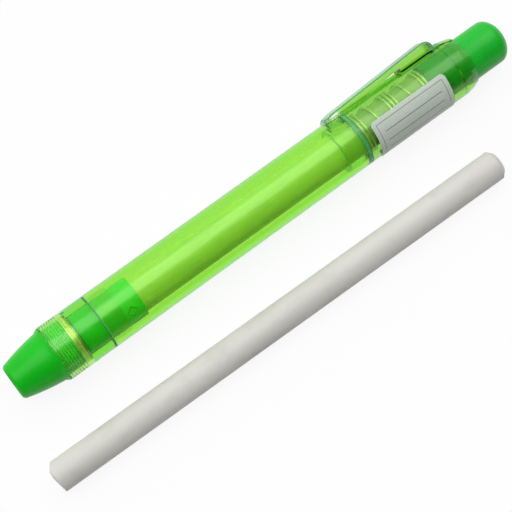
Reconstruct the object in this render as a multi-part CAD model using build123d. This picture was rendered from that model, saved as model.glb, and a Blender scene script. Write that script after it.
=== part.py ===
from build123d import *

import math
import os

os.makedirs("parts", exist_ok=True)

# A click eraser holder, lying on a table beside one loose refill.
# The holder's axis is X while it is built, from the tip of the nose at 0 to the knob.
# At the end everything is moved so that the origin is under the middle of the whole part.
# Sizes are in millimetres and angles in degrees.
# Angles round the holder start at straight up and grow towards the refill's side.
# The radii grow outwards from the rod, wall by wall, and the lengths follow from the rod's length.

# Eraser rods
ERASER_R = 3.35
ERASER_LENGTH = 112.3
ERASER_EDGE = 0.4
ERASER_INSET = 0.5
ROD_REAR_ROOM = 10.3

# Fits
FIT_GAP = 0.05
RUN_GAP = 0.1
ROD_GAP = 0.15
GRIP_GAP = 0.04
SEAT_GAP = 0.2
OVERRUN = 1.0

# How far the knob, tube and chuck travel
PRESS_TRAVEL = 3.0

# Lengths of the outer pieces, and the break of their edges
NOSE_LENGTH = 9.9
COLLAR_LENGTH = 11.15
SLEEVE_LENGTH = 29.0
KNOB_PROJECTION = 10.4
EDGE_BREAK = 0.15

# Carrier tube
TUBE_WALL = 0.5
TUBE_NECK = 0.2
TUBE_TAIL_ROOM = 6.25

# Chuck
SOCKET_WALL = 0.7
SOCKET_DEPTH = 5.6
BLOCK_LENGTH = 14.1
NECK_STEP = 0.3
NECK_LENGTH = 0.55
CONE_LENGTH = 1.15
HEAD_STEP = 0.2
HEAD_LENGTH = 2.3
LIP_WALL = 0.5
LIP_LENGTH = 2.3
JAWS = 3
JAW_ANGLE = 195.0
SLIT_WIDTH = 0.5
SLIT_DEPTH_IN_BLOCK = 5.2
TOOTH_COUNT = 3
TOOTH_PITCH = 1.0
TOOTH_DEPTH = 0.22
WINDOW_LENGTH = 2.8
WINDOW_WIDTH = 2.2
WINDOW_SETBACK = 2.7
WINDOW_ANGLE = 45.0
LUG_GAP = 0.25

# Nose cone
NOSE_TIP_WALL = 0.62
NOSE_TIP_LAND = 0.02
NOSE_TIP_DEPTH = 1.0
NOSE_TIP_BULGE = 0.1
NOSE_KNEE_SHARE = 0.5
NOSE_BULGE = 0.16
FLANGE_DROP = 0.6
FLANGE_RUN = 1.0
FLANGE_RIM = 0.35
FLANGE_STEP = 0.03
SPIGOT_WALL = 0.28
SPIGOT_LENGTH = 4.2
THREAD_ROOM = 0.3
HEAD_ROOM = 0.12
LIP_ROOM = 0.25
JAW_END_ROOM = 0.35
CAVITY_RUN = 2.2

# Rubber gripper in the nose
GRIPPER_LENGTH = 2.7
GRIPPER_WALL = 0.52
GRIPPER_LIP = 0.25

# Clutch ring and front collar
RING_LENGTH = 1.55
COLLAR_PLUG_WALL = 0.55
COLLAR_PLUG_LENGTH = 4.5

# Barrel and rear sleeve
BARREL_WALL = 1.0
SLEEVE_PLUG_LENGTH = 5.0
SPRING_SHOULDER = 0.5
SLEEVE_TAPER = 3.1
SLEEVE_TAPER_KNEE = 1.7
SLEEVE_TAPER_DROP = 0.26
SLEEVE_LIP = 0.41
NECK_BORE_LENGTH = 3.5
NECK_LIP = 0.11

# Clip, moulded with the sleeve
CLIP_ANGLE = -66.0
CLIP_WIDTH = 4.6
CLIP_LENGTH = 28.65
CLIP_SETBACK = 4.25
CLIP_TIP_RUN = 2.2
CLIP_TIP_RISE = 1.05
CLIP_TOP_RISE = 2.24
CLIP_CREST = 2.3
CLIP_HEEL_R = 1.7
CLIP_ROOT_LENGTH = 9.0
CLIP_SLOT_RISE = 0.62
CLIP_PAD = 0.6
CLIP_PAD_RUN = 3.9
CLIP_GAP = 0.15
CLIP_SINK = 0.5
CLIP_EDGE = 0.5
SADDLE_HEIGHT = 0.34
SADDLE_SPAN = 44.0
SADDLE_LAP = 0.8

# Return spring
WIRE_R = 0.225
WIRE_SIDES = 5
SPRING_ROOM = 0.175
COIL_CLOSED = 0.9
COIL_OPEN = 4.25
COIL_START_ANGLE = -74.0
COIL_OPEN_SHARES = (0, 0, 0, 1, 1, 1, 0, 0, 0, 0, 0, 1, 1, 1, 0, 0, 0)

# Knob
KNOB_WALL = 1.12
KNOB_SHANK_STEP = 0.12
KNOB_SHANK_REACH = 1.8
KNOB_DOME = 3.2
KNOB_DOME_CHORDS = 4
KNOB_FLOOR = 2.8

# Sticker
STICKER_FRONT = 2.5
STICKER_REAR = 4.1
STICKER_ANGLE = 10.3
STICKER_SPAN = 98.0
STICKER_THICKNESS = 0.1
STICKER_CORNER = 1.0
STICKER_LIFT = 0.02

# Loose refill: where it lies beside the holder
REFILL_LEAD = 4.5
REFILL_ASIDE = 20.15
REFILL_TURN = 0.73
REFILL_CUT = 0.65
REFILL_CUT_SHARE = 0.3
REFILL_ROUND = 0.9

# A revolved outline starts a quarter turn from straight up
QUARTER_TURN = 90.0

# Radii, from the rod outwards
ROD_BORE = ERASER_R + ROD_GAP
TUBE_R = ROD_BORE + TUBE_WALL
TUBE_NECK_R = TUBE_R - TUBE_NECK
SOCKET_BORE = TUBE_NECK_R + FIT_GAP
CHUCK_R = SOCKET_BORE + SOCKET_WALL
CHUCK_BORE = ERASER_R + RUN_GAP
CHUCK_NECK_R = CHUCK_R - NECK_STEP
CHUCK_HEAD_R = CHUCK_R + HEAD_STEP
CHUCK_LIP_R = CHUCK_BORE + LIP_WALL
GUIDE_BORE = CHUCK_R + RUN_GAP
CAVITY_R = CHUCK_HEAD_R + HEAD_ROOM
CAVITY_FRONT_R = CHUCK_LIP_R + LIP_ROOM
SPIGOT_R = CAVITY_R + SPIGOT_WALL
THREAD_BORE = SPIGOT_R + THREAD_ROOM
PLUG_R = GUIDE_BORE + COLLAR_PLUG_WALL
BARREL_BORE = PLUG_R + FIT_GAP
BODY_R = BARREL_BORE + BARREL_WALL
GRIPPER_BORE = ERASER_R + GRIP_GAP
GRIPPER_R = GRIPPER_BORE + GRIPPER_WALL
SPRING_R = TUBE_R + SPRING_ROOM + WIRE_R
KNOB_R = SOCKET_BORE + KNOB_WALL
NECK_BORE = KNOB_R + RUN_GAP
SPRING_BORE = NECK_BORE + NECK_LIP
SLEEVE_END_R = NECK_BORE + SLEEVE_LIP

# Stations along the axis
X_COLLAR = NOSE_LENGTH
X_BARREL = X_COLLAR + COLLAR_LENGTH
X_END = ERASER_INSET + ERASER_LENGTH + ROD_REAR_ROOM + KNOB_FLOOR
X_SLEEVE_END = X_END - KNOB_PROJECTION
X_MOUTH = X_SLEEVE_END - SLEEVE_LENGTH
X_TAPER = X_SLEEVE_END - SLEEVE_TAPER
X_RING = X_COLLAR + SPIGOT_LENGTH + FIT_GAP
X_RING_SEAT = X_RING + RING_LENGTH
X_BLOCK = X_RING_SEAT + SEAT_GAP
X_NECK = X_BLOCK - NECK_LENGTH
X_CONE = X_NECK - CONE_LENGTH
X_HEAD = X_CONE - HEAD_LENGTH
X_JAW_TIP = X_HEAD - LIP_LENGTH
X_CAVITY = X_JAW_TIP - PRESS_TRAVEL - JAW_END_ROOM
X_GRIPPER = X_CAVITY - GRIPPER_LENGTH
X_TUBE = X_BLOCK + BLOCK_LENGTH
X_SOCKET = X_TUBE - SOCKET_DEPTH
X_SHOULDER = X_MOUTH + SPRING_SHOULDER
X_HEEL = X_SLEEVE_END - CLIP_SETBACK
X_TAIL = X_END - KNOB_FLOOR - TUBE_TAIL_ROOM

# The spring's half turns, from its front end, and the knob's face behind it
HALF_TURNS = [(COIL_CLOSED + share * (COIL_OPEN - COIL_CLOSED)) / 2 for share in COIL_OPEN_SHARES]
SPRING_FRONT = X_SHOULDER + SEAT_GAP + WIRE_R
X_KNOB = SPRING_FRONT + sum(HALF_TURNS) + WIRE_R + SEAT_GAP


def turned(edges):
    """A solid turned about the axis from a closed outline of edges in X and radius."""
    return revolve(make_face(Wire(edges)), Axis.X)


def ring(start, end, outer, inner):
    """A plain tube between two stations."""
    outline = Polyline((start, inner), (end, inner), (end, outer), (start, outer), close=True)
    return turned(outline.edges())


def around(angle):
    """Turn about the holder's axis: 0 is straight up, and positive is towards the refill."""
    return Rot(X=angle)


def make_nose_cone():
    """Tapered nose with the flange, the threaded spigot and the cavity for the jaws."""
    lip = ROD_BORE + NOSE_TIP_LAND
    tip_r = ROD_BORE + NOSE_TIP_WALL
    waist_r = BODY_R - FLANGE_DROP
    waist = NOSE_LENGTH - FLANGE_RUN
    knee = NOSE_TIP_DEPTH + NOSE_KNEE_SHARE * (waist - NOSE_TIP_DEPTH)
    knee_r = tip_r + NOSE_KNEE_SHARE * (waist_r - tip_r) + NOSE_BULGE
    pocket = GRIPPER_R + FIT_GAP
    rim = BODY_R - FLANGE_STEP
    cavity_end = X_CAVITY + CAVITY_RUN
    spigot_end = NOSE_LENGTH + SPIGOT_LENGTH
    tip_middle = (NOSE_TIP_DEPTH / 2 - NOSE_TIP_BULGE, (lip + tip_r) / 2 + NOSE_TIP_BULGE)
    outline = Polyline(
        (0, ROD_BORE),
        (0, lip),
        tip_middle,
        (NOSE_TIP_DEPTH, tip_r),
        (knee, knee_r),
        (waist, waist_r),
        (NOSE_LENGTH - FLANGE_RIM, rim - EDGE_BREAK),
        (NOSE_LENGTH, rim),
        (NOSE_LENGTH, SPIGOT_R),
        (spigot_end, SPIGOT_R),
        (spigot_end, CAVITY_R),
        (cavity_end, CAVITY_R),
        (X_CAVITY, CAVITY_FRONT_R),
        (X_CAVITY, pocket),
        (X_GRIPPER, pocket),
        (X_GRIPPER, ROD_BORE),
        close=True,
    )
    return turned(outline.edges())


def make_nose_gripper():
    """Rubber ring that holds the eraser while the chuck goes back for a new bite."""
    start = X_GRIPPER + FIT_GAP
    end = X_CAVITY - FIT_GAP
    outline = Polyline(
        (start, GRIPPER_R),
        (end, GRIPPER_R),
        (end, GRIPPER_BORE + GRIPPER_LIP),
        (end - GRIPPER_LIP, GRIPPER_BORE),
        (start, GRIPPER_BORE),
        close=True,
    )
    return turned(outline.edges())


def make_clutch_ring():
    """Ring that squeezes the jaws shut: its seat lies along the chuck's closing cone."""
    outer = THREAD_BORE - FIT_GAP
    slope = (CHUCK_HEAD_R - CHUCK_NECK_R) / CONE_LENGTH
    seat_r = CHUCK_HEAD_R + FIT_GAP + slope * (X_CONE - X_RING)
    seat_end = X_RING + (seat_r - GUIDE_BORE) / slope
    outline = Polyline(
        (X_RING, outer),
        (X_RING_SEAT, outer),
        (X_RING_SEAT, GUIDE_BORE),
        (seat_end, GUIDE_BORE),
        (X_RING, seat_r),
        close=True,
    )
    return turned(outline.edges())


def make_front_collar():
    """Clear collar: it takes the nose's spigot and the clutch ring, and plugs into the barrel."""
    end = X_BARREL + COLLAR_PLUG_LENGTH
    outline = Polyline(
        (X_COLLAR, THREAD_BORE),
        (X_RING_SEAT, THREAD_BORE),
        (X_RING_SEAT, GUIDE_BORE),
        (end, GUIDE_BORE),
        (end, PLUG_R),
        (X_BARREL, PLUG_R),
        (X_BARREL, BODY_R - EDGE_BREAK),
        (X_BARREL - EDGE_BREAK, BODY_R),
        (X_COLLAR + EDGE_BREAK, BODY_R),
        (X_COLLAR, BODY_R - EDGE_BREAK),
        close=True,
    )
    return turned(outline.edges())


def jaw_slit():
    """Cutter for one slit: it runs from the jaws' tip into the guide block."""
    end = X_BLOCK + SLIT_DEPTH_IN_BLOCK
    start = X_JAW_TIP - OVERRUN
    reach = CHUCK_HEAD_R + OVERRUN
    return Pos((start + end) / 2, 0, reach / 2) * Box(end - start, SLIT_WIDTH, reach)


def diamond(length, width, height):
    """Upright four-sided post over the snap window's place, from the axis outwards."""
    middle = X_TUBE - WINDOW_SETBACK
    outline = Polyline(
        (middle - length / 2, 0),
        (middle, width / 2),
        (middle + length / 2, 0),
        (middle, -width / 2),
        close=True,
    )
    return extrude(make_face(outline), height)


def window_angles():
    """Where the two snap windows are, opposite each other."""
    return WINDOW_ANGLE, WINDOW_ANGLE + 2 * QUARTER_TURN


def make_chuck():
    """Clutch chuck: three jaws with teeth, a long guide block, and the socket for the tube."""
    outline = Polyline(
        (X_JAW_TIP, CHUCK_BORE),
        (X_JAW_TIP, CHUCK_LIP_R),
        (X_HEAD, CHUCK_HEAD_R),
        (X_CONE, CHUCK_HEAD_R),
        (X_NECK, CHUCK_NECK_R),
        (X_BLOCK, CHUCK_NECK_R),
        (X_BLOCK, CHUCK_R),
        (X_TUBE, CHUCK_R),
        (X_TUBE, SOCKET_BORE),
        (X_SOCKET, SOCKET_BORE),
        (X_SOCKET, CHUCK_BORE),
        close=True,
    )
    body = turned(outline.edges())
    for tooth in range(TOOTH_COUNT):
        start = X_JAW_TIP + (tooth + 1) * TOOTH_PITCH
        body -= ring(start, start + TOOTH_PITCH / 2, CHUCK_BORE + TOOTH_DEPTH, CHUCK_BORE / 2)
    for jaw in range(JAWS):
        body -= around(JAW_ANGLE + jaw * 4 * QUARTER_TURN / JAWS) * jaw_slit()
    for angle in window_angles():
        body -= around(angle) * diamond(WINDOW_LENGTH, WINDOW_WIDTH, BODY_R)
    return body


def make_carrier_tube():
    """Tube that carries the rod, with a thinner neck at each end and two snap lugs."""
    head = X_SOCKET + FIT_GAP
    outline = Polyline(
        (head, ROD_BORE),
        (head, TUBE_NECK_R),
        (X_TUBE, TUBE_NECK_R),
        (X_TUBE, TUBE_R),
        (X_KNOB, TUBE_R),
        (X_KNOB, TUBE_NECK_R),
        (X_TAIL, TUBE_NECK_R),
        (X_TAIL, ROD_BORE),
        close=True,
    )
    body = turned(outline.edges())
    lugs = ring(head, X_TUBE, CHUCK_R - FIT_GAP, ROD_BORE)
    lug = diamond(WINDOW_LENGTH - 2 * LUG_GAP, WINDOW_WIDTH - 2 * LUG_GAP, BODY_R)
    for angle in window_angles():
        body += lugs & (around(angle) * lug)
    return body


def make_barrel():
    """Clear tube between the collar and the sleeve."""
    return ring(X_BARREL, X_MOUTH, BODY_R, BARREL_BORE)


def sleeve_body():
    """The sleeve without its clip: plug, spring shoulder, spring bore and the knob's neck."""
    plug = X_MOUTH - SLEEVE_PLUG_LENGTH
    guide = TUBE_R + RUN_GAP
    neck_start = X_SLEEVE_END - NECK_BORE_LENGTH
    outline = Polyline(
        (X_TAPER, BODY_R),
        (X_TAPER + SLEEVE_TAPER_KNEE, BODY_R - SLEEVE_TAPER_DROP),
        (X_SLEEVE_END, SLEEVE_END_R),
        (X_SLEEVE_END, NECK_BORE),
        (neck_start, NECK_BORE),
        (neck_start - EDGE_BREAK, SPRING_BORE),
        (X_SHOULDER, SPRING_BORE),
        (X_SHOULDER, guide),
        (plug, guide),
        (plug, PLUG_R),
        (X_MOUTH, PLUG_R),
        (X_MOUTH, BODY_R - EDGE_BREAK),
        (X_MOUTH + EDGE_BREAK, BODY_R),
        close=True,
    )
    return turned(outline.edges())


def clip_bar():
    """The clip's bar over the sleeve, with a tip that bends down and a round heel."""
    tip = X_HEEL - CLIP_LENGTH
    tip_back = tip + CLIP_TIP_RUN
    slot_end = X_HEEL - CLIP_ROOT_LENGTH
    top = BODY_R + CLIP_TOP_RISE
    root = BODY_R - CLIP_SINK
    pad = BODY_R - CLIP_PAD
    slant = math.sin(math.radians(QUARTER_TURN / 2))
    tip_middle = (tip + CLIP_TIP_RUN * (1 - slant), BODY_R + CLIP_TIP_RISE * slant)
    heel_start = (X_HEEL - CLIP_HEEL_R, top)
    heel_middle = (X_HEEL - CLIP_HEEL_R * (1 - slant), top - CLIP_HEEL_R * (1 - slant))
    heel_end = (X_HEEL, top - CLIP_HEEL_R)
    outline = [
        *Polyline(
            (tip, pad),
            (tip, BODY_R),
            tip_middle,
            (tip_back, BODY_R + CLIP_TIP_RISE),
            (X_HEEL - CLIP_CREST, top),
            heel_start,
        ).edges(),
        ThreePointArc(heel_start, heel_middle, heel_end),
        *Polyline(
            heel_end,
            (X_HEEL, root),
            (slot_end, root),
            (slot_end, BODY_R + CLIP_SLOT_RISE),
            (tip + CLIP_PAD_RUN, pad),
            (tip, pad),
        ).edges(),
    ]
    upright = Plane(origin=(0, 0, 0), x_dir=(1, 0, 0), z_dir=(0, -1, 0))
    bar = extrude(upright * make_face(Wire(outline)), CLIP_WIDTH / 2, both=True)
    sides = bar.edges().filter_by(lambda e: abs(e.center().Y) > CLIP_WIDTH / 2 - FIT_GAP)
    outer = sides.filter_by(lambda e: e.center().Z > BODY_R + CLIP_EDGE)
    bar = fillet(outer, CLIP_EDGE)
    return bar - ring(tip - OVERRUN, slot_end, BODY_R + CLIP_GAP, BODY_R / 2)


def clip_saddle():
    """Low ridge behind the clip's heel, following the sleeve's taper."""
    inner = (SLEEVE_END_R + NECK_BORE) / 2
    outline = Polyline(
        (X_HEEL - SADDLE_LAP, BODY_R - CLIP_SINK),
        (X_HEEL - SADDLE_LAP, BODY_R + SADDLE_HEIGHT),
        (X_TAPER, BODY_R + SADDLE_HEIGHT),
        (X_SLEEVE_END, SLEEVE_END_R + SADDLE_HEIGHT),
        (X_SLEEVE_END, inner),
        (X_TAPER, BODY_R - CLIP_SINK),
        close=True,
    )
    return revolve(make_face(outline), Axis.X, SADDLE_SPAN)


def make_rear_sleeve():
    """Sleeve with the pocket clip moulded on."""
    saddle = around(CLIP_ANGLE + QUARTER_TURN - SADDLE_SPAN / 2) * clip_saddle()
    return sleeve_body() + around(CLIP_ANGLE) * clip_bar() + saddle


def make_push_knob():
    """Cap that the thumb presses: a shank that seats the spring, and a domed end."""
    shank_end = X_SLEEVE_END - KNOB_SHANK_REACH
    shank = KNOB_R - KNOB_SHANK_STEP
    pocket = X_TAIL + FIT_GAP
    floor = X_END - KNOB_FLOOR
    bends = [math.radians(QUARTER_TURN * step / KNOB_DOME_CHORDS) for step in range(KNOB_DOME_CHORDS)]
    dome = [(X_END - KNOB_DOME * (1 - math.sin(bend)), KNOB_R * math.cos(bend)) for bend in bends]
    outline = Polyline(
        *dome,
        (X_END, 0),
        (floor, 0),
        (floor, ROD_BORE),
        (pocket, ROD_BORE),
        (pocket, SOCKET_BORE),
        (X_KNOB, SOCKET_BORE),
        (X_KNOB, shank),
        (shank_end, shank),
        (shank_end, KNOB_R),
        close=True,
    )
    return turned(outline.edges())


def rod(start, edge_front, edge_back):
    """A plain rod of eraser on the axis, with its two ends broken by chamfers."""
    end = start + ERASER_LENGTH
    outline = Polyline(
        (start, 0),
        (start, ERASER_R - edge_front),
        (start + edge_front, ERASER_R),
        (end - edge_back, ERASER_R),
        (end, ERASER_R - edge_back),
        (end, 0),
        close=True,
    )
    return turned(outline.edges())


def make_eraser():
    """The rod in use, from just inside the tip to inside the tube's tail."""
    return rod(ERASER_INSET, ERASER_EDGE, ERASER_EDGE)


def make_spare_refill():
    """The loose rod: its near end is cut a little askew, and its far end is rounded off."""
    loose = rod(0, EDGE_BREAK, REFILL_ROUND)
    ridge = ERASER_R * REFILL_CUT_SHARE
    wedge = Polyline((0, ridge), (REFILL_CUT, -ERASER_R), (-OVERRUN, -ERASER_R), close=True)
    bevel = Polyline((0, ridge), (2 * REFILL_CUT, ERASER_R), (-OVERRUN, ERASER_R), close=True)
    for cutter in (wedge, bevel):
        loose -= extrude(make_face(cutter), 2 * ERASER_R, both=True)
    aside = Pos(-REFILL_LEAD, -REFILL_ASIDE, ERASER_R - BODY_R) * Rot(Z=-REFILL_TURN)
    return aside * loose


def make_sticker():
    """Bare paper label, bent round the sleeve."""
    inner = BODY_R + STICKER_LIFT
    outer = inner + STICKER_THICKNESS
    start = X_MOUTH + STICKER_FRONT
    end = X_TAPER - STICKER_REAR
    outline = Polyline((start, inner), (end, inner), (end, outer), (start, outer), close=True)
    sheet = revolve(make_face(outline), Axis.X, STICKER_SPAN)
    corners = sheet.edges().filter_by(lambda e: e.length < STICKER_CORNER)
    return around(STICKER_ANGLE + QUARTER_TURN) * fillet(corners, STICKER_CORNER)


def coil_places():
    """Points and directions of the wire's centre line, one for each half turn."""
    places = []
    along = SPRING_FRONT
    steps = [HALF_TURNS[0], *HALF_TURNS, HALF_TURNS[-1]]
    for count in range(len(HALF_TURNS) + 1):
        angle = math.radians(2 * QUARTER_TURN * count - COIL_START_ANGLE)
        side = Vector(0, math.sin(angle), math.cos(angle))
        across = Vector(0, -math.cos(angle), math.sin(angle))
        climb = min(steps[count], steps[count + 1])
        direction = (across * math.pi * SPRING_R + Vector(climb, 0, 0)).normalized()
        places.append((Vector(along, 0, 0) + side * SPRING_R, direction))
        if count < len(HALF_TURNS):
            along += HALF_TURNS[count]
    return places


def biarc(start, leaving, end, arriving):
    """Two arcs that meet smoothly: from start along one direction to end along the other."""
    span = end - start
    lead = span.dot(leaving + arriving)
    spread = 2 * (1 - leaving.dot(arriving))
    reach = (math.sqrt(lead**2 + spread * span.dot(span)) - lead) / spread
    before = start + leaving * reach
    after = end - arriving * reach
    middle = (before + after) / 2
    return [
        TangentArc(start, middle, tangent=leaving),
        TangentArc(middle, end, tangent=(after - before)),
    ]


def least_gap(path, turns):
    """Least clearance of the wire to itself, between points half a turn or more apart."""
    per_turn = 48
    count = int(turns * per_turn)
    points = [path.position_at(k / count) for k in range(count + 1)]
    half = per_turn // 2
    spans = [
        (points[b] - points[a]).length
        for a in range(len(points))
        for b in range(a + half, len(points))
    ]
    return min(spans) - 2 * WIRE_R


def make_return_spring():
    """Spring of one unbroken wire: closed coils at both ends and in the middle."""
    places = coil_places()
    arcs = []
    for (start, leaving), (end, arriving) in zip(places, places[1:]):
        arcs += biarc(start, leaving, end, arriving)
    path = Wire(arcs)
    first, direction = places[0]
    section = Plane(origin=first, z_dir=direction) * RegularPolygon(WIRE_R, WIRE_SIDES)
    print(f"spring: least gap to itself {least_gap(path, len(HALF_TURNS) / 2):.3f} mm")
    return sweep(section, path)


NODES = {
    "nose_cone": make_nose_cone,
    "nose_gripper": make_nose_gripper,
    "clutch_ring": make_clutch_ring,
    "front_collar": make_front_collar,
    "chuck": make_chuck,
    "carrier_tube": make_carrier_tube,
    "barrel": make_barrel,
    "rear_sleeve": make_rear_sleeve,
    "return_spring": make_return_spring,
    "push_knob": make_push_knob,
    "eraser": make_eraser,
    "spare_refill": make_spare_refill,
    "sticker": make_sticker,
}

shapes = {name: make() for name, make in NODES.items()}
box = Compound(children=[Part() + shape for shape in shapes.values()]).bounding_box()
PLACE = Vector(-(box.min.X + box.max.X) / 2, -(box.min.Y + box.max.Y) / 2, BODY_R)

for name, shape in shapes.items():
    export_step(Pos(PLACE) * shape, f"parts/{name}.step")
print(f"holder axis: Y {PLACE.Y:.4f}, Z {PLACE.Z:.4f}; nose tip at X {PLACE.X:.4f}; knob end {X_END:.2f}")
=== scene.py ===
import math

import bpy
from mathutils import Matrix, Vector


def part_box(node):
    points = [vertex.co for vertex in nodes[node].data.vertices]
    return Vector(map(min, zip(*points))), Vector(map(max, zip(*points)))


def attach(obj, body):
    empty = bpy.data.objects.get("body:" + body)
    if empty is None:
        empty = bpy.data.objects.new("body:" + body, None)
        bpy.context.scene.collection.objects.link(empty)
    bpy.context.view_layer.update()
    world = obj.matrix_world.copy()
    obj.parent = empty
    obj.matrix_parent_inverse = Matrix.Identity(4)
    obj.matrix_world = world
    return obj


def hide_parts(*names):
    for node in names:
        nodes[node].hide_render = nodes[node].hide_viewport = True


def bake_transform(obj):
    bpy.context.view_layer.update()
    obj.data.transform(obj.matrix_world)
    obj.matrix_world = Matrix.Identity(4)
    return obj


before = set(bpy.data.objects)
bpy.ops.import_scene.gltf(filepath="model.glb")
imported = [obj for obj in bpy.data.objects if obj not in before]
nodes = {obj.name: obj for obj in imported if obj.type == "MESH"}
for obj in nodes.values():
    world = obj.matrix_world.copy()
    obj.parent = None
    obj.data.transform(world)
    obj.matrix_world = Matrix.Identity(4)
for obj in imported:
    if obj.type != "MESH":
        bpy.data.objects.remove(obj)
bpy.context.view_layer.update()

# The holder's axis and nose tip, in metres of the frame. Lengths below are in millimetres where no comment
# says otherwise, and place() turns them to metres
MM = 0.001
BARREL_LOW, BARREL_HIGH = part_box("barrel")
AXIS_Y = (BARREL_LOW.y + BARREL_HIGH.y) / 2
AXIS_Z = (BARREL_LOW.z + BARREL_HIGH.z) / 2
NOSE_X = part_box("nose_cone")[0].x


def from_nose(x):
    """A place in the frame along X, in millimetres from the nose's tip."""
    return (x - NOSE_X) / MM


# Stations and radii that the solids give
BODY_R = (BARREL_HIGH.z - BARREL_LOW.z) / 2 / MM
X_COLLAR = from_nose(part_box("front_collar")[0].x)
X_SPIGOT_END = from_nose(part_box("nose_cone")[1].x)
X_RING_SEAT = from_nose(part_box("clutch_ring")[1].x)
X_KNOB = from_nose(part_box("push_knob")[0].x)
X_END = from_nose(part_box("push_knob")[1].x)
X_SLEEVE_END = from_nose(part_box("rear_sleeve")[1].x)
X_BARREL_END = from_nose(BARREL_HIGH.x)
X_STICKER = from_nose(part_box("sticker")[0].x)
X_STICKER_END = from_nose(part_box("sticker")[1].x)
KNOB_R = (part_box("push_knob")[1].z - AXIS_Z) / MM
ERASER_R = (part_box("eraser")[1].z - AXIS_Z) / MM

# Camera, from the nose's tip along X, from the axis along Y and from the floor up
CAMERA_FROM_NOSE = (-9.066, -91.84, 331.115)
CAMERA_LOOKS_ALONG = (0.18644, 0.24538, -0.95133)
CAMERA_LENS = 117.77
CAMERA_SENSOR = 36.0

# Nose, as in the solids, with its rounds made smooth
ROD_BORE = ERASER_R + 0.15
NOSE_LIP_R = 3.52
NOSE_TIP_R = 4.12
NOSE_TIP_DEPTH = 1.0
NOSE_TIP_BULGE = 0.1
NOSE_WAIST_X = 8.9
NOSE_WAIST_R = BODY_R - 0.6
NOSE_BULGE = 0.16
FLANGE_RIM = 0.35
FLANGE_R = BODY_R - 0.03
FLANGE_BREAK = 0.15
SPIGOT_R = 5.15
CAVITY_R = 4.87
CAVITY_FRONT_R = 4.2
CAVITY_X = 6.25
CAVITY_END_X = 8.45
GRIPPER_POCKET_R = 3.96
GRIPPER_POCKET_X = 3.55

# Thread on the nose's spigot. Foot and crest are half widths as shares of the pitch
THREAD_PITCH = 0.6
THREAD_HEIGHT = 0.24
THREAD_START = 0.3
THREAD_STOP = 0.25
THREAD_STEPS_PER_TURN = 48
THREAD_SINK = 0.02
THREAD_FOOT = 0.42
THREAD_CREST = 0.08
THREAD_FADE_TURNS = 0.5

# Knob, as in the solids, with its round end made smooth
SOCKET_R = 3.85
KNOB_SHANK_R = KNOB_R - 0.12
KNOB_SHANK_END = X_SLEEVE_END - 1.8
KNOB_DOME = 3.2
KNOB_FLOOR_X = X_END - 2.8
KNOB_POCKET_X = X_END - 9.0

# Return spring
WIRE_R = 0.225
SPRING_R = 4.4
SPRING_FRONT = X_BARREL_END + 0.925
COIL_CLOSED = 0.9
COIL_OPEN = 4.25
COIL_START_ANGLE = -74.0
COIL_OPEN_SHARES = (0, 0, 0, 1, 1, 1, 0, 0, 0, 0, 0, 1, 1, 1, 0, 0, 0)
WIRE_SIDES = 14
WIRE_STEPS = 28

# Mark left by the mould's gate on the collar. Rings are pairs of a share of the radius and a height, which
# floor and swell turn to shares of the dish
GATE_R = 0.5
GATE_ANGLE = -50.0
GATE_HEIGHT = 0.03
GATE_DISH = 0.12
GATE_FLOOR, GATE_SWELL = 0.8, 0.2
GATE_STEPS = 28
GATE_RINGS = ((1.0, 0.0), (0.9, 1.0), (0.7, 0.9), (0.35, 0.35), (0.0, 0.1))

# Sticker and its print: lengths along the holder, angles round it in degrees. Lines are pairs of half a
# width and the softness of its edge
STICKER_ANGLE = 10.3
STICKER_SPAN = 98.0
LABEL_INSET = 1.0
LABEL_TURN_INSET = 9.0
LABEL_RULES = 3
RULE_INSET = 1.3
FRAME_LINE_ACROSS = (0.07, 0.05)
FRAME_LINE_ALONG = (0.7, 0.5)
RULE_LINE = (0.5, 0.5)
INK_SHARE = 0.85

# Grooves of the ring, from its rear face forwards, with half their widths, and its darker rear band
RING_GROOVES = ((0.85, 0.05), (1.2, 0.05))
RING_BAND = 0.45

# Places where the clear pieces meet, and the clip
X_JOINT = from_nose(BARREL_LOW.x)
X_BLOCK_END = from_nose(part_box("chuck")[1].x)
X_MOUTH = X_BARREL_END
X_PLUG = from_nose(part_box("rear_sleeve")[0].x)
CLIP_ANGLE = -66.0
X_CLIP_TIP = 82.6
X_CLIP_HEEL = 111.25

# Dark lines where the clear pieces meet, as pairs of a place and half a width
COLLAR_SEAMS = [(X_JOINT, 0.07)]
BARREL_SEAMS = [(X_JOINT, 0.07), (X_MOUTH - 0.3, 0.22)]
SLEEVE_SEAMS = [(X_MOUTH, 0.12)]
SEAM_SOFT = 0.06

# Stretches with little tint, where a plug lies inside another piece, and the collar's threaded bore
COLLAR_PALE = (X_JOINT, X_JOINT + 9)
SLEEVE_PALE = (0, X_MOUTH)
NOWHERE = (0, 1)
COLLAR_RIDGES = (X_COLLAR + 0.1, X_SPIGOT_END)

# Clear plastic: shares of the tint that plugs and clip lose, depths of its reliefs, the outer skin that has
# no thread, the width of the plug's rim of painted light, and how solid seams, painted light and ribs are,
# from 0 to 1
PALE_LOSS = 0.85
CLIP_LOSS = 0.55
WAVE_DEPTH = 0.012
RIB_DEPTH = 0.06
SKIN = 0.4
PLUG_RIM = 0.15
SEAM_SHARE = 0.95
SEAM_SOLID = 0.9
PAINTED_LIGHT_SOLID = 0.4
RIB_SOLID = 0.5
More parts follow.
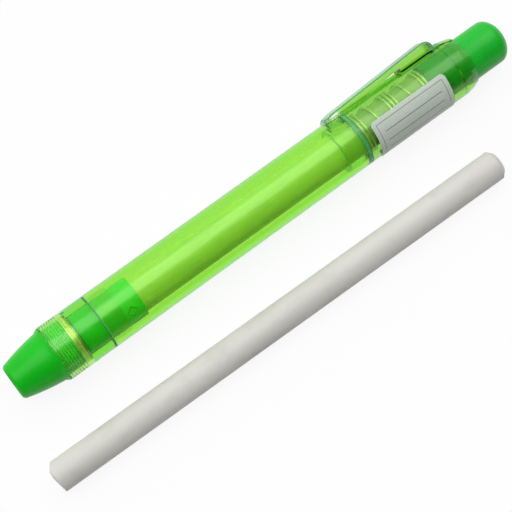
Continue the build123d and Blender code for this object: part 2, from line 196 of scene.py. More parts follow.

# The clip's painted light: how far faces look out of it, from -1 to 1, where the painted light fades in
# from tip and heel, how far beyond the body the clip begins, and the shares of each painted light
CLIP_TOP_FACES = 0.35
CLIP_UNDERSIDE_FACES = -0.8
CLIP_TIP_FADE = (0.6, 1.8)
CLIP_HEEL_FADE = (1.6, 0.6)
CLIP_BEGINS = (0.15, 0.3)
CLIP_ENDS_SHARE = 0.8
CLIP_EDGE_LIGHT_GREEN_SHARE = 0.95
CLIP_UNDERSIDE_LIGHT_LIME_SHARE = 0.9
CLIP_UNDERSIDE_LIGHT_LIME_SOLID = 0.4

# What a millimetre of each clear plastic lets through, and the colours of its seams, ribs and painted light
COLLAR_LIME = (0.66, 0.935, 0.40)
BARREL_LIME = (0.61, 0.925, 0.25)
SLEEVE_LIME = (0.60, 0.86, 0.36)
SEAM_GREEN = (0.008, 0.40, 0.06)
RIB_GREEN = (0.16, 0.80, 0.14)
CLIP_EDGE_LIGHT_GREEN = (0.01, 0.40, 0.06)
CLIP_UNDERSIDE_LIGHT_LIME = (0.55, 0.92, 0.30)
RIM_PAINTED_LIGHT_LIME = (0.55, 0.92, 0.25)

# Colours of the other pieces. Pairs are the two tones of the clouds or grain. The third one is the chuck's
# lighter tone of painted light where it lies in the barrel, and the smudges' grey on eraser and refill
NOSE_GREENS = ((0.006, 0.50, 0.012), (0.004, 0.45, 0.009))
# The thread is the nose's own plastic, painted a lighter green as painted light
THREAD_LIT_GREENS = ((0.03, 0.80, 0.05), (0.02, 0.72, 0.04))
KNOB_GREENS = ((0.012, 0.46, 0.03), (0.008, 0.42, 0.022))
GATE_TEALS = ((0.01, 0.30, 0.10), (0.01, 0.24, 0.08))
CHUCK_GREENS = ((0.05, 0.78, 0.08), (0.035, 0.70, 0.06), (0.10, 0.82, 0.10))
TUBE_MILK = (0.90, 0.92, 0.84)
TUBE_STREAKS = (1.0, 1.0, 0.96)
TUBE_LIT_IN_CHUCK = (0.14, 0.86, 0.13)
TUBE_CLOUDS = 0.94
TUBE_SHADE_BEHIND_MOUTH = 0.74
TUBE_LETS_THROUGH = 0.86
RUBBER_GREYS = ((0.40, 0.45, 0.40), (0.52, 0.57, 0.52))
BRASS, BRASS_STAIN = (0.88, 0.88, 0.46), (0.28, 0.44, 0.08)
WIRE_TONES = ((0.94, 0.93, 0.72), (1.0, 1.0, 0.84))
ERASER_WHITES = ((0.84, 0.84, 0.82), (0.78, 0.78, 0.76), (0.6, 0.6, 0.58))
SPARE_WHITES = ((0.64, 0.625, 0.585), (0.59, 0.575, 0.535), (0.46, 0.45, 0.42))
PAPER_TONES = ((0.50, 0.56, 0.49), (0.58, 0.65, 0.57))
INK = (0.05, 0.11, 0.06)

# Floor and light: the floor's reach is in metres, the key light's tilt, half width and softness are in
# degrees, and its reach and soft end along X are parts of a direction of length 1
FLOOR_REACH = 3.0
FLOOR_GREY = (0.8, 0.8, 0.8)
FLOOR_GLOW = 0.9
WORLD_SEEN = 0.95
AMBIENT = 0.14
SIDE_LIGHT = 1.0
SIDE_FROM = (0.0, 0.8, 0.6)
KEY_LIGHT = 1.9
KEY_TILT = 11.0
KEY_HALF = 13.0
KEY_SOFT = 16.0
KEY_REACH = 0.55
KEY_END_SOFT = 0.25
LIGHT_BOUNCES = 48
CLEAR_BOUNCES = 32

# Fineness of the meshes
LATHE_STEPS = 160
ROUND_STEPS = 10
DOME_STEPS = 16
SHARP_ANGLE = 28.0


def place(x, angle=0.0, radius=0.0):
    """A point of the frame from millimetres along the holder, degrees from straight up and radius."""
    turn = math.radians(angle)
    across, up = -math.sin(turn) * radius, math.cos(turn) * radius
    return Vector((NOSE_X + x * MM, AXIS_Y + across * MM, AXIS_Z + up * MM))


def new_piece(name, points, faces):
    """A smooth mesh object from points in the frame, with its hard edges kept."""
    mesh = bpy.data.meshes.new(name)
    mesh.from_pydata([tuple(point) for point in points], [], faces)
    mesh.validate()
    mesh.polygons.foreach_set("use_smooth", [True] * len(mesh.polygons))
    mesh.set_sharp_from_angle(angle=math.radians(SHARP_ANGLE))
    piece = bpy.data.objects.new(name, mesh)
    bpy.context.scene.collection.objects.link(piece)
    return piece


def arc(start, middle, end):
    """Points on the arc through three places in X and radius, without the last one."""
    (ax, ay), (bx, by), (cx, cy) = start, middle, end
    d = 2 * (ax * (by - cy) + bx * (cy - ay) + cx * (ay - by))
    a2, b2, c2 = ax**2 + ay**2, bx**2 + by**2, cx**2 + cy**2
    ux = (a2 * (by - cy) + b2 * (cy - ay) + c2 * (ay - by)) / d
    uy = (a2 * (cx - bx) + b2 * (ax - cx) + c2 * (bx - ax)) / d
    radius = math.hypot(ax - ux, ay - uy)
    first = math.atan2(ay - uy, ax - ux)
    half = (math.atan2(by - uy, bx - ux) - first + math.pi) % (2 * math.pi) - math.pi
    rest = (math.atan2(cy - uy, cx - ux) - first - half + math.pi) % (2 * math.pi) - math.pi
    sweep = half + rest
    turns = [first + sweep * k / ROUND_STEPS for k in range(ROUND_STEPS)]
    return [(ux + radius * math.cos(turn), uy + radius * math.sin(turn)) for turn in turns]


def lathe(name, outline):
    """A closed outline in X and radius, turned about the holder's axis."""
    points, faces, rings = [], [], []
    for x, radius in outline:
        if radius == 0:
            rings.append([len(points)] * LATHE_STEPS)
            points.append(place(x))
            continue
        rings.append(list(range(len(points), len(points) + LATHE_STEPS)))
        points += [place(x, 360 * k / LATHE_STEPS, radius) for k in range(LATHE_STEPS)]
    for here, there in zip(rings, rings[1:] + rings[:1]):
        for k in range(LATHE_STEPS):
            follow = (k + 1) % LATHE_STEPS
            corners = [here[k], here[follow], there[follow], there[k]]
            corners = list(dict.fromkeys(corners))
            if len(corners) > 2:
                faces.append(corners)
    return new_piece(name, points, faces)


def strips(rings, sides):
    """Faces between rings of points that follow each other, each with the same number of sides."""
    faces = []
    for ring in range(rings - 1):
        low, high = ring * sides, (ring + 1) * sides
        for s in range(sides):
            follow = (s + 1) % sides
            faces.append([low + s, low + follow, high + follow, high + s])
    return faces


def tube(name, route, section):
    """A tube along a route of (point, side, up) places, with a closed section in side and up."""
    points, sides = [], len(section)
    for centre, side, up in route:
        points += [centre + side * (a * MM) + up * (b * MM) for a, b in section]
    faces = strips(len(route), sides)
    last = (len(route) - 1) * sides
    faces.append(list(range(sides))[::-1])
    faces.append(list(range(last, last + sides)))
    return new_piece(name, points, faces)


def make_nose():
    """Smooth nose over the CAD one: rounded tip, swelling side, flange, spigot and cavity."""
    tip_middle = (NOSE_TIP_DEPTH / 2 - NOSE_TIP_BULGE, (NOSE_LIP_R + NOSE_TIP_R) / 2 + NOSE_TIP_BULGE)
    side_middle = ((NOSE_TIP_DEPTH + NOSE_WAIST_X) / 2, (NOSE_TIP_R + NOSE_WAIST_R) / 2 + NOSE_BULGE)
    outline = [
        (0, ROD_BORE),
        *arc((0, NOSE_LIP_R), tip_middle, (NOSE_TIP_DEPTH, NOSE_TIP_R)),
        *arc((NOSE_TIP_DEPTH, NOSE_TIP_R), side_middle, (NOSE_WAIST_X, NOSE_WAIST_R)),
        (NOSE_WAIST_X, NOSE_WAIST_R),
        (X_COLLAR - FLANGE_RIM, FLANGE_R - FLANGE_BREAK),
        (X_COLLAR - FLANGE_RIM / 2, FLANGE_R - FLANGE_BREAK / 3),
        (X_COLLAR, FLANGE_R),
        (X_COLLAR, SPIGOT_R),
        (X_SPIGOT_END, SPIGOT_R),
        (X_SPIGOT_END, CAVITY_R),
        (CAVITY_END_X, CAVITY_R),
        (CAVITY_X, CAVITY_FRONT_R),
        (CAVITY_X, GRIPPER_POCKET_R),
        (GRIPPER_POCKET_X, GRIPPER_POCKET_R),
        (GRIPPER_POCKET_X, ROD_BORE),
    ]
    nose = lathe("nose_shell", outline)
    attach(nose, "nose")
    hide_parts("nose_cone")
    return nose


def make_thread():
    """Right-hand thread round the spigot, running out at both ends."""
    start, stop = X_COLLAR + THREAD_START, X_SPIGOT_END - THREAD_STOP
    turns = (stop - start) / THREAD_PITCH
    count = int(turns * THREAD_STEPS_PER_TURN)
    points = []
    for k in range(count + 1):
        share = k / count
        angle = 360 * turns * share
        fade = min(1, share * turns / THREAD_FADE_TURNS, (1 - share) * turns / THREAD_FADE_TURNS)
        x = start + (stop - start) * share
        crest = SPIGOT_R + THREAD_HEIGHT * fade
        foot = SPIGOT_R - THREAD_SINK
        offsets = (-THREAD_FOOT, -THREAD_CREST, THREAD_CREST, THREAD_FOOT)
        for offset, radius in zip(offsets, (foot, crest, crest, foot)):
            points.append(place(x + offset * THREAD_PITCH, angle, radius))
    faces = strips(count + 1, 4)
    faces.append([3, 2, 1, 0])
    faces.append([4 * count, 4 * count + 1, 4 * count + 2, 4 * count + 3])
    thread = new_piece("nose_thread", points, faces)
    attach(thread, "nose")
    return thread


def make_knob():
    """Smooth knob over the CAD one: shank, and an end domed as half an ellipse."""
    turns = [math.pi / 2 * step / DOME_STEPS for step in range(DOME_STEPS)]
    dome = [(X_END - KNOB_DOME * (1 - math.sin(turn)), KNOB_R * math.cos(turn)) for turn in turns]
    outline = [
        (X_KNOB, SOCKET_R),
        (X_KNOB, KNOB_SHANK_R),
        (KNOB_SHANK_END, KNOB_SHANK_R),
        (KNOB_SHANK_END, KNOB_R),
        *dome,
        (X_END, 0),
        (KNOB_FLOOR_X, 0),
        (KNOB_FLOOR_X, ROD_BORE),
        (KNOB_POCKET_X, ROD_BORE),
        (KNOB_POCKET_X, SOCKET_R),
    ]
    knob = lathe("knob_cap", outline)
    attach(knob, "plunger")
    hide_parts("push_knob")
    return knob


def spring_route():
    """Centre line of the wire with its two cross directions, closed and open coils in turn."""
    halves = [(COIL_CLOSED + share * (COIL_OPEN - COIL_CLOSED)) / 2 for share in COIL_OPEN_SHARES]
    steps = [halves[0], *halves, halves[-1]]
    slopes = [min(steps[k], steps[k + 1]) for k in range(len(halves) + 1)]
    places, along = [], SPRING_FRONT
    for k, half in enumerate(halves):
        for step in range(WIRE_STEPS):
            t = step / WIRE_STEPS
            rise = half * t * t * (3 - 2 * t)
            rise += slopes[k] * t * (1 - t) ** 2 - slopes[k + 1] * t * t * (1 - t)
            places.append((along + rise, 180 * (k + t)))
        along += half
    places.append((along, 180.0 * len(halves)))
    points = [place(x, COIL_START_ANGLE + turn, SPRING_R) for x, turn in places]
    route = []
    for k, (x, turn) in enumerate(places):
        before, after = points[max(k - 1, 0)], points[min(k + 1, len(points) - 1)]
        outward = (points[k] - place(x)).normalized()
        side = (after - before).normalized().cross(outward).normalized()
        route.append((points[k], side, outward))
    return route


def make_spring():
    """Round smooth wire over the CAD spring, which lies between sleeve and knob."""
    turns = [2 * math.pi * k / WIRE_SIDES for k in range(WIRE_SIDES)]
    section = [(WIRE_R * math.cos(turn), WIRE_R * math.sin(turn)) for turn in turns]
    spring = tube("spring_wire", spring_route(), section)
    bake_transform(spring)
    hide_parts("return_spring")
    return spring


def make_gate_mark():
    """Small dished spot where the collar's plastic entered the mould."""
    points = []
    for share, height in GATE_RINGS:
        lift = BODY_R - GATE_DISH + (GATE_DISH - GATE_HEIGHT / 2) * (GATE_FLOOR + GATE_SWELL * height)
        for k in range(GATE_STEPS):
            turn = 2 * math.pi * k / GATE_STEPS
            aside = GATE_R * share * math.sin(turn)
            along = GATE_R * share * math.cos(turn)
            points.append(place(X_RING_SEAT + along, GATE_ANGLE + math.degrees(aside / BODY_R), lift))
    mark = new_piece("gate_mark", points, strips(len(GATE_RINGS), GATE_STEPS))
    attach(mark, "holder")
    return mark


class Nodes:
    """Short calls for the nodes that the materials and the surroundings share."""

    def __init__(self, tree):
        self.tree = tree
        self.tree.nodes.clear()

    def node(self, kind, **settings):
        """A node with its own settings."""
        made = self.tree.nodes.new(kind)
        for key, value in settings.items():
            setattr(made, key, value)
        return made

    def feed(self, socket, value):
        """A link where the value is a socket, and a plain value on the socket itself elsewhere."""
        if isinstance(value, bpy.types.NodeSocket):
            self.tree.links.new(value, socket)
        else:
            socket.default_value = value

    def math(self, operation, a, b=0.0):
        """One sum of two numbers or sockets."""
        made = self.node("ShaderNodeMath", operation=operation)
        self.feed(made.inputs[0], a)
        self.feed(made.inputs[1], b)
        return made.outputs[0]

    def ramp(self, value, low, high, start=0.0, end=1.0, kind="LINEAR"):
        """A value between low and high, brought to between start and end."""
        made = self.node("ShaderNodeMapRange", interpolation_type=kind)
        made.clamp = True
        self.feed(made.inputs["Value"], value)
        made.inputs["From Min"].default_value = low
        made.inputs["From Max"].default_value = high
        made.inputs["To Min"].default_value = start
        made.inputs["To Max"].default_value = end
        return made.outputs[0]

    def mix_shaders(self, share, first, second):
        """Between two shaders."""
        made = self.node("ShaderNodeMixShader")
        for socket, value in zip(made.inputs, (share, first, second)):
            self.feed(socket, value)
        return made.outputs[0]


class Finish(Nodes):
    """One procedural material."""

    def __init__(self, name):
        self.material = bpy.data.materials.new(name)
        self.material.use_nodes = True
        super().__init__(self.material.node_tree)
        self.output = self.node("ShaderNodeOutputMaterial")
        self.coordinates = self.node("ShaderNodeTexCoord").outputs["Object"]

    def noise(self, size, drawn=(1, 1, 1), detail=3.0, roughness=0.55):
        """Soft random pattern whose spots are about size millimetres, longer where drawn is more."""
        mapping = self.node("ShaderNodeMapping")
        self.feed(mapping.inputs["Vector"], self.coordinates)
        mapping.inputs["Scale"].default_value = [1 / (size * MM * s) for s in drawn]
        made = self.node("ShaderNodeTexNoise")
        self.feed(made.inputs["Vector"], mapping.outputs[0])
        made.inputs["Scale"].default_value = 1.0
        made.inputs["Detail"].default_value = detail
        made.inputs["Roughness"].default_value = roughness
        return made.outputs["Fac"]

    def mix(self, share, a, b):
        """Between two colours."""
        made = self.node("ShaderNodeMix", data_type="RGBA")
        self.feed(made.inputs[0], share)
        self.feed(made.inputs[6], a if isinstance(a, bpy.types.NodeSocket) else (*a, 1))
        self.feed(made.inputs[7], b if isinstance(b, bpy.types.NodeSocket) else (*b, 1))
        return made.outputs[2]

    def bump(self, height, depth, strength=1.0):
        """Surface relief from a height pattern, in millimetres deep."""
        made = self.node("ShaderNodeBump")
        made.inputs["Strength"].default_value = strength
        made.inputs["Distance"].default_value = depth * MM
        self.feed(made.inputs["Height"], height)
        return made.outputs[0]

    def principled(self, **values):
        """The main shader, with its sockets set or linked by name."""
        made = self.node("ShaderNodeBsdfPrincipled")
        for key, value in values.items():
            socket = made.inputs[key.replace("_", " ")]
            if isinstance(value, tuple):
                value = (*value, 1)
            self.feed(socket, value)
        return made.outputs[0]

    def finish(self, shader):
        """Links the shader to the output and gives the material back."""
        self.tree.links.new(shader, self.output.inputs["Surface"])
        return self.material


def along_holder(made):
    """Millimetres along the holder from the nose's tip, as a socket."""
    parts = made.node("ShaderNodeSeparateXYZ")
    made.feed(parts.inputs[0], made.coordinates)
    return made.math("MULTIPLY", made.math("SUBTRACT", parts.outputs["X"], NOSE_X), 1 / MM)


def from_axis(made):
    """Millimetres from the holder's axis, as a socket."""
    parts = made.node("ShaderNodeSeparateXYZ")
    made.feed(parts.inputs[0], made.coordinates)
    squares = []
    for part, centre in ((parts.outputs["Y"], AXIS_Y), (parts.outputs["Z"], AXIS_Z)):
        away = made.math("ABSOLUTE", made.math("SUBTRACT", part, centre))
        squares.append(made.math("POWER", away, 2.0))
    return made.math("DIVIDE", made.math("SQRT", made.math("ADD", *squares)), MM)


def round_holder(made):
    """Degrees round the holder from straight up towards the refill, as a socket."""
    parts = made.node("ShaderNodeSeparateXYZ")
    made.feed(parts.inputs[0], made.coordinates)
    across = made.math("SUBTRACT", AXIS_Y, parts.outputs["Y"])
    up = made.math("SUBTRACT", parts.outputs["Z"], AXIS_Z)
    return made.math("DEGREES", made.math("ARCTAN2", across, up))


def line(made, coordinate, centre, half_width, soft):
    """1 on a line of a coordinate, falling softly to 0 beside it."""
    away = made.math("ABSOLUTE", made.math("SUBTRACT", coordinate, centre))
    return made.ramp(away, half_width, half_width + soft, 1.0, 0.0)


def stretch(made, coordinate, first, last, soft=0.1):
    """1 between two places of a coordinate and 0 beyond them."""
    return line(made, coordinate, (first + last) / 2, (last - first) / 2, soft)


def strongest(made, values):
    """The largest of several sockets at each point."""
    best = values[0]
    for value in values[1:]:
        best = made.math("MAXIMUM", best, value)
    return best


def lets_light_in(made, shader, tint):
    """The shader, with a tinted way through it for the light that falls on what lies inside."""
    clear = made.node("ShaderNodeBsdfTransparent")
    clear.inputs["Color"].default_value = (*tint, 1)
    shadow = made.node("ShaderNodeLightPath").outputs["Is Shadow Ray"]
    return made.mix_shaders(shadow, shader, clear.outputs[0])


def opaque_plastic(name, colour, deep, rough):
    """Glossy moulded plastic with faint clouds from the mould and fine handling marks."""
    made = Finish(name)
    clouds = made.ramp(made.noise(3.5, (2.2, 1, 1)), 0.35, 0.7)
    marks = made.noise(0.35, (5, 1, 1), 4.0)
    skin = made.noise(0.12)
    relief = made.math("ADD", made.math("MULTIPLY", marks, 0.7), made.math("MULTIPLY", skin, 0.3))
    shader = made.principled(
        Base_Color=made.mix(clouds, deep, colour),
        Roughness=made.ramp(marks, 0.3, 0.75, rough - 0.05, rough + 0.09),
        IOR=1.5,
        Specular_IOR_Level=0.22,
        Normal=made.bump(relief, 0.012, 0.5),
    )
    return made.finish(shader)


def tinted_depth(made, through, thickness, share):
    """Absorption inside the plastic, from the colour that passes through a thickness in millimetres.

    The share says how much of that tint each place has.
    """
    losses = [-math.log(part) / (thickness * MM) for part in through]
    density = max(losses) * 1.02
    volume = made.node("ShaderNodeVolumeAbsorption")
    volume.inputs["Color"].default_value = (*[1 - loss / density for loss in losses], 1)
    made.feed(volume.inputs["Density"], made.math("MULTIPLY", share, density))
    made.tree.links.new(volume.outputs[0], made.output.inputs["Volume"])


def bore_thread(made, along, radius, ridges):
    """A thread's wave in the bore, from -1 to 1, and where it shows, from 0 to 1."""
    round_share = made.math("DIVIDE", round_holder(made), 360)
    turn = made.math("SUBTRACT", made.math("DIVIDE", along, THREAD_PITCH), round_share)
    wave = made.math("SINE", made.math("MULTIPLY", turn, 2 * math.pi))
    inside = made.math("LESS_THAN", radius, BODY_R - SKIN)
    return wave, made.math("MULTIPLY", inside, stretch(made, along, *ridges))


def clip_paint(made, along, beyond, colour):
    """Where the clip and the plug's rim get painted light, and the colour with that painted light.

    The clip has a green top, tip and heel and a lime underside. The paint stands for light that gathers
    in the edges of the clear plastic, and was matched to the side that the photograph shows.
    """
    facing = made.node("ShaderNodeVectorMath", operation="DOT_PRODUCT")
    made.feed(facing.inputs[0], made.node("ShaderNodeTexCoord").outputs["Normal"])
    # A direction of length 1 out of the clip: 1000 mm in the frame's metres
    facing.inputs[1].default_value = place(0, CLIP_ANGLE, 1000) - place(0)
    outward = facing.outputs["Value"]
    # Painted light: the clip's top face, tip and heel get a deep green for light gathered in its edges
    top = made.math("MULTIPLY", made.math("GREATER_THAN", outward, CLIP_TOP_FACES), beyond)
    tip = made.ramp(along, *[X_CLIP_TIP + inset for inset in CLIP_TIP_FADE], 1.0, 0.0)
    heel = made.ramp(along, *[X_CLIP_HEEL - inset for inset in CLIP_HEEL_FADE])
    ends = made.math("MULTIPLY", beyond, CLIP_ENDS_SHARE)
    ends = made.math("MULTIPLY", made.math("ADD", tip, heel), ends)
    painted = made.math("MAXIMUM", top, ends)
    colour = made.mix(made.math("MULTIPLY", painted, CLIP_EDGE_LIGHT_GREEN_SHARE), colour, CLIP_EDGE_LIGHT_GREEN)
    # Painted light: the clip's underside, which lies in shade, is painted a light lime
    below = made.math("MULTIPLY", made.math("LESS_THAN", outward, CLIP_UNDERSIDE_FACES), beyond)
    colour = made.mix(made.math("MULTIPLY", below, CLIP_UNDERSIDE_LIGHT_LIME_SHARE), colour, CLIP_UNDERSIDE_LIGHT_LIME)
    painted = made.math("MAXIMUM", painted, made.math("MULTIPLY", below, CLIP_UNDERSIDE_LIGHT_LIME_SOLID))
    # Painted light: a narrow band at the plug's front rim is painted lime and solid, over the shade at that
    # edge
    rim = made.math("LESS_THAN", along, X_PLUG + PLUG_RIM)
    return made.math("MAXIMUM", painted, rim), made.mix(rim, colour, RIM_PAINTED_LIGHT_LIME)


def clear_plastic(name, through, seams, pale, ridges=None, clip=False):
    """Clear plastic tinted in its depth, with drawn-out streaks and a faintly uneven skin.

    Seams are dark lines round the holder. The pale stretch has little tint, ridges are a stretch with
    a thread in the bore, and clip adds the clip's lighter tint, its painted light and that of the plug's
    rim.
    """
    made = Finish(name)
    along, radius = along_holder(made), from_axis(made)
    streaks = made.noise(0.45, (80, 1, 1), 3.0)
    clouds = made.noise(3.0, (8, 1, 1))
    share = made.math("ADD", made.math("MULTIPLY", streaks, 0.5), made.math("MULTIPLY", clouds, 0.5))
    colour = made.mix(made.ramp(share, 0.3, 0.7), (0.93, 0.96, 0.9), (1.0, 1.0, 0.99))
    dark = strongest(made, [line(made, along, x, half, SEAM_SOFT) for x, half in seams])
    relief = made.math("MULTIPLY", made.noise(2.2, (14, 1, 1), 2.0), WAVE_DEPTH)
    plugged = made.math("MULTIPLY", stretch(made, along, *pale), PALE_LOSS)
    tint = made.math("SUBTRACT", 1.0, plugged)
    painted, ribs = 0.0, 0.0
    if ridges:
        wave, shown = bore_thread(made, along, radius, ridges)
        height = made.math("MULTIPLY", made.math("MULTIPLY", wave, shown), RIB_DEPTH)
        relief = made.math("ADD", relief, height)
        ribs = made.math("MULTIPLY", made.ramp(wave, -0.2, 0.8), shown)
        colour = made.mix(ribs, colour, RIB_GREEN)
    if clip:
        beyond = made.ramp(radius, *[BODY_R + lift for lift in CLIP_BEGINS])
        loss = made.math("MULTIPLY", beyond, CLIP_LOSS)
        tint = made.math("MULTIPLY", tint, made.math("SUBTRACT", 1.0, loss))
        painted, colour = clip_paint(made, along, beyond, colour)
        dark = made.math("MULTIPLY", dark, made.math("SUBTRACT", 1.0, beyond))
    # Dark seams, painted light and thread ribs, each with how solid it makes the plastic
    marks = ((dark, SEAM_SOLID), (painted, PAINTED_LIGHT_SOLID), (ribs, RIB_SOLID))
    solid = strongest(made, [made.math("MULTIPLY", mark, part) for mark, part in marks])
    shader = made.principled(
        Base_Color=made.mix(made.math("MULTIPLY", dark, SEAM_SHARE), colour, SEAM_GREEN),
        Roughness=made.ramp(streaks, 0.3, 0.75, 0.005, 0.045),
        IOR=1.49,
        Transmission_Weight=made.math("SUBTRACT", 1.0, solid),
        Normal=made.bump(relief, 1.0, 0.3),
    )
    tinted_depth(made, through, 1.0, tint)
    return made.finish(lets_light_in(made, shader, (0.96, 0.96, 0.96)))


def frosted_plastic(name, colour, rough):
    """Thin milky plastic, with painted shade behind the barrel's mouth and painted green light in the
    chuck.
    """
    made = Finish(name)
    clouds = made.ramp(made.noise(2.0, (6, 1, 1)), 0.3, 0.7)
    along = along_holder(made)
    streaks = made.ramp(made.noise(0.35, (30, 1, 1), 2.0), 0.45, 0.72)
    base = made.mix(clouds, [part * TUBE_CLOUDS for part in colour], colour)
    base = made.mix(made.math("MULTIPLY", streaks, 0.8), base, TUBE_STREAKS)
    # Painted shade: the tube is darker inside the sleeve, behind the barrel's mouth
    behind = made.ramp(along, X_MOUTH, X_MOUTH + 0.8)
    base = made.mix(behind, base, [part * TUBE_SHADE_BEHIND_MOUTH for part in colour])
    # Painted light: the tube is a light green where it lies in the chuck, in place of its shade there
    base = made.mix(made.ramp(along, X_BLOCK_END - 0.1, X_BLOCK_END), TUBE_LIT_IN_CHUCK, base)
    shader = made.principled(
        Base_Color=base,
        Roughness=made.ramp(made.noise(0.5, (40, 1, 1)), 0.3, 0.7, rough - 0.02, rough + 0.02),
        IOR=1.45,
        Transmission_Weight=0.1,
        Specular_IOR_Level=0.3,
    )
    return made.finish(lets_light_in(made, shader, [part * TUBE_LETS_THROUGH for part in colour]))


def satin_plastic(name, colour, deep, lit_in_barrel=None):
    """Satin moulded plastic with fine grain. A lighter colour of painted light shows where it lies in the
    barrel.
    """
    made = Finish(name)
    grain = made.noise(0.16, (1.5, 1, 1), 4.0)
    clouds = made.ramp(made.noise(2.4, (3, 1, 1)), 0.35, 0.7)
    base = made.mix(clouds, deep, colour)
    if lit_in_barrel:
        # Painted light: the chuck is lighter and yellower where the barrel covers it
        base = made.mix(stretch(made, along_holder(made), X_JOINT, X_BLOCK_END + 1), base, lit_in_barrel)
    shader = made.principled(
        Base_Color=base,
        Roughness=made.ramp(grain, 0.3, 0.7, 0.34, 0.48),
        IOR=1.5,
        Specular_IOR_Level=0.2,
        Normal=made.bump(grain, 0.015, 0.5),
    )
    return made.finish(shader)


def rubber(name):
    """Soft dull rubber."""
    made = Finish(name)
    grain = made.noise(0.2, (1, 1, 1), 4.0)
    shader = made.principled(
        Base_Color=made.mix(made.ramp(grain, 0.3, 0.7), *RUBBER_GREYS),
        Roughness=0.75,
        Normal=made.bump(grain, 0.02, 0.6),
    )
    return made.finish(shader)


def turned_brass(name):
    """Turned brass with two fine grooves, dark specks in them and a darker band at its rear."""
    made = Finish(name)
    along = along_holder(made)
    cuts = [line(made, along, X_RING_SEAT - back, half, SEAM_SOFT) for back, half in RING_GROOVES]
    grooves = strongest(made, cuts)
    specks = made.ramp(made.noise(0.35, (1, 1, 1), 2.0), 0.45, 0.6)
    rear = stretch(made, along, X_RING_SEAT - RING_BAND, X_RING_SEAT)
    stain = made.math("MAXIMUM", made.math("MULTIPLY", grooves, specks), rear)
    lines = made.noise(0.05, (0.6, 30, 30), 2.0)
    relief = made.math("SUBTRACT", made.math("MULTIPLY", lines, 0.2), grooves)
    shader = made.principled(
        Base_Color=made.mix(stain, BRASS, BRASS_STAIN),
        Metallic=0.6,
        Roughness=made.ramp(lines, 0.3, 0.7, 0.24, 0.4),
        Normal=made.bump(relief, 0.05, 0.8),
    )
    return made.finish(shader)


def bright_wire(name):
    """Bright drawn steel wire with a warm cast and fine lines."""
    made = Finish(name)
    lines = made.noise(0.12, (1, 4, 4), 3.0)
    shader = made.principled(
        Base_Color=made.mix(made.ramp(lines, 0.3, 0.7), *WIRE_TONES),
        Metallic=0.5,
        Roughness=made.ramp(lines, 0.3, 0.7, 0.22, 0.34),
        Normal=made.bump(lines, 0.01, 0.4),
    )
    return made.finish(shader)


def vinyl(name, colour, deep, grey):
    """Matt eraser vinyl with fine grain, faint smudges and shallow dents."""
    made = Finish(name)
    grain = made.noise(0.22, (1, 1, 1), 5.0, 0.65)
    smudges = made.ramp(made.noise(5.0, (1.6, 1, 1), 4.0), 0.52, 0.78)
    clouds = made.ramp(made.noise(9.0, (2.5, 1, 1), 2.0), 0.3, 0.7)
    dents = made.noise(1.8, (2, 1, 1), 2.0)
    base = made.mix(made.math("MULTIPLY", smudges, 0.6), made.mix(clouds, deep, colour), grey)
    relief = made.math("ADD", made.math("MULTIPLY", grain, 0.35), made.math("MULTIPLY", dents, 0.65))
    shader = made.principled(
        Base_Color=base,
        Roughness=made.ramp(grain, 0.3, 0.7, 0.55, 0.7),
        IOR=1.45,
        Normal=made.bump(relief, 0.06, 0.5),
    )
    return made.finish(shader)


def label_paper(name):
    """Pale label with a thin frame and three plain lines to write on."""
    made = Finish(name)
    along, turned = along_holder(made), round_holder(made)
    fibres = made.noise(0.25, (3, 1, 1), 4.0)
    left, right = X_STICKER + LABEL_INSET, X_STICKER_END - LABEL_INSET
    first = STICKER_ANGLE + LABEL_TURN_INSET
    last = STICKER_ANGLE + STICKER_SPAN - LABEL_TURN_INSET
    lengthways = stretch(made, along, left, right, 0.05)
    within = made.math("MULTIPLY", lengthways, stretch(made, turned, first, last, 0.4))
    edges = [line(made, along, x, *FRAME_LINE_ACROSS) for x in (left, right)]
    edges += [line(made, turned, angle, *FRAME_LINE_ALONG) for angle in (first, last)]
    gap = (last - first) / (LABEL_RULES + 1)
    angles = [first + gap * (k + 1) for k in range(LABEL_RULES)]
    rules = strongest(made, [line(made, turned, angle, *RULE_LINE) for angle in angles])
    inner = stretch(made, along, left + RULE_INSET, right - RULE_INSET, 0.05)
    print_share = strongest(made, edges + [made.math("MULTIPLY", rules, inner)])
    ink = made.math("MULTIPLY", made.math("MULTIPLY", print_share, within), INK_SHARE)
    paper = made.mix(made.ramp(fibres, 0.3, 0.7), *PAPER_TONES)
    shader = made.principled(
        Base_Color=made.mix(ink, paper, INK),
        Roughness=made.ramp(fibres, 0.3, 0.7, 0.38, 0.52),
        IOR=1.45,
        Normal=made.bump(fibres, 0.012, 0.5),
    )
    return made.finish(shader)


def dress(thing, material):
    """One material on every slot of a piece or a CAD node."""
    if not thing.data.materials:
        thing.data.materials.append(material)
    for slot in thing.material_slots:
        slot.material = material


def make_floor():
    """Wide pale floor that the camera and the clear plastic see as near white."""
    mesh = bpy.data.meshes.new("floor")
    corners = [(x * FLOOR_REACH, y * FLOOR_REACH, 0) for x, y in ((-1, -1), (1, -1), (1, 1), (-1, 1))]
    mesh.from_pydata(corners, [], [(0, 1, 2, 3)])
    floor = bpy.data.objects.new("floor", mesh)
    bpy.context.scene.collection.objects.link(floor)
    made = Finish("floor_white")
    paper = made.principled(Base_Color=FLOOR_GREY, Roughness=0.7)
    glow = made.node("ShaderNodeEmission")
    glow.inputs["Color"].default_value = (1, 1, 1, 1)
    glow.inputs["Strength"].default_value = 1.0
    ray = made.node("ShaderNodeLightPath")
    seen = made.math("ADD", ray.outputs["Is Camera Ray"], ray.outputs["Is Glossy Ray"])
    seen = made.math("ADD", seen, ray.outputs["Is Transmission Ray"])
    share = made.math("MULTIPLY", made.math("MINIMUM", seen, 1.0), FLOOR_GLOW)
    dress(floor, made.finish(made.mix_shaders(share, paper, glow.outputs[0])))


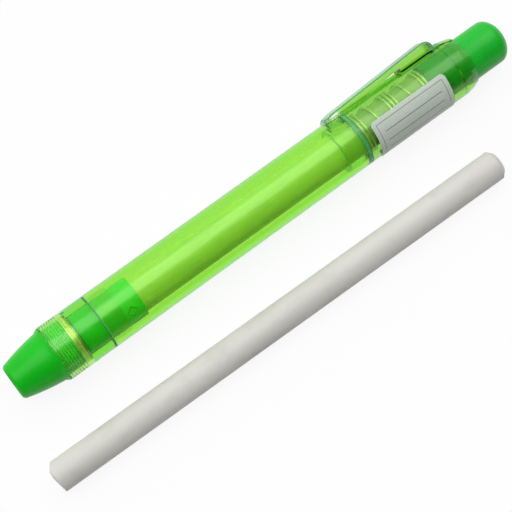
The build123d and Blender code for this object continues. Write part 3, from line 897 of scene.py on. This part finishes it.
def make_light():
    """Studio surroundings: soft light from the back and a long soft-edged box overhead."""
    world = bpy.data.worlds.new("surroundings")
    bpy.context.scene.world = world
    world.use_nodes = True
    made = Nodes(world.node_tree)
    direction = made.node("ShaderNodeTexCoord").outputs["Generated"]
    parts = made.node("ShaderNodeSeparateXYZ")
    made.feed(parts.inputs[0], direction)
    tilt = made.math("DEGREES", made.math("ARCTAN2", parts.outputs["Y"], parts.outputs["Z"]))
    away = made.math("ABSOLUTE", made.math("SUBTRACT", tilt, KEY_TILT))
    across = made.ramp(away, KEY_HALF, KEY_HALF + KEY_SOFT, 1.0, 0.0, "SMOOTHSTEP")
    endways = made.math("ABSOLUTE", parts.outputs["X"])
    along = made.ramp(endways, KEY_REACH, KEY_REACH + KEY_END_SOFT, 1.0, 0.0, "SMOOTHSTEP")
    key = made.math("MULTIPLY", made.math("MULTIPLY", across, along), KEY_LIGHT)
    side = made.node("ShaderNodeVectorMath", operation="DOT_PRODUCT")
    made.feed(side.inputs[0], direction)
    side.inputs[1].default_value = SIDE_FROM
    side_light = made.math("MULTIPLY", made.math("MAXIMUM", side.outputs["Value"], 0.0), SIDE_LIGHT)
    light = made.node("ShaderNodeBackground")
    seen = made.node("ShaderNodeBackground")
    made.feed(light.inputs["Strength"], made.math("ADD", made.math("ADD", key, side_light), AMBIENT))
    seen.inputs["Strength"].default_value = WORLD_SEEN
    for background in (light, seen):
        background.inputs["Color"].default_value = (1, 1, 1, 1)
    camera_ray = made.node("ShaderNodeLightPath").outputs["Is Camera Ray"]
    both = made.mix_shaders(camera_ray, light.outputs[0], seen.outputs[0])
    made.feed(made.node("ShaderNodeOutputWorld").inputs["Surface"], both)


def make_camera():
    """The photograph's view: its picture plane is level, so the camera has no roll."""
    data = bpy.data.cameras.new("camera")
    data.lens = CAMERA_LENS
    data.sensor_width = CAMERA_SENSOR
    data.clip_start, data.clip_end = 0.01, 20.0
    camera = bpy.data.objects.new("camera", data)
    bpy.context.scene.collection.objects.link(camera)
    along, across, up = CAMERA_FROM_NOSE
    camera.location = (NOSE_X + along * MM, AXIS_Y + across * MM, up * MM)
    camera.rotation_mode = "QUATERNION"
    camera.rotation_quaternion = Vector(CAMERA_LOOKS_ALONG).to_track_quat("-Z", "Y")
    bpy.context.scene.camera = camera


dress(make_nose(), opaque_plastic("nose_green", *NOSE_GREENS, 0.3))
# Painted light: the thread is a lighter green than the nose that it belongs to
dress(make_thread(), opaque_plastic("thread_lit_green", *THREAD_LIT_GREENS, 0.3))
dress(make_knob(), opaque_plastic("knob_green", *KNOB_GREENS, 0.28))
dress(make_spring(), bright_wire("spring_steel"))
dress(make_gate_mark(), satin_plastic("gate_teal", *GATE_TEALS))
finishes = {
    "front_collar": clear_plastic("collar_lime", COLLAR_LIME, COLLAR_SEAMS, COLLAR_PALE, COLLAR_RIDGES),
    "barrel": clear_plastic("barrel_lime", BARREL_LIME, BARREL_SEAMS, NOWHERE),
    "rear_sleeve": clear_plastic("sleeve_lime", SLEEVE_LIME, SLEEVE_SEAMS, SLEEVE_PALE, clip=True),
    "chuck": satin_plastic("chuck_green", *CHUCK_GREENS),
    "carrier_tube": frosted_plastic("tube_frosted", TUBE_MILK, 0.3),
    "nose_gripper": rubber("gripper_rubber"),
    "clutch_ring": turned_brass("ring_brass"),
    "eraser": vinyl("eraser_vinyl", *ERASER_WHITES),
    "spare_refill": vinyl("spare_vinyl", *SPARE_WHITES),
    "sticker": label_paper("label_paper"),
}
for node, finish in finishes.items():
    dress(nodes[node], finish)

make_floor()
make_light()
make_camera()
scene = bpy.context.scene
scene.view_settings.view_transform = "Standard"
scene.cycles.max_bounces = LIGHT_BOUNCES
scene.cycles.transmission_bounces = LIGHT_BOUNCES
scene.cycles.transparent_max_bounces = CLEAR_BOUNCES
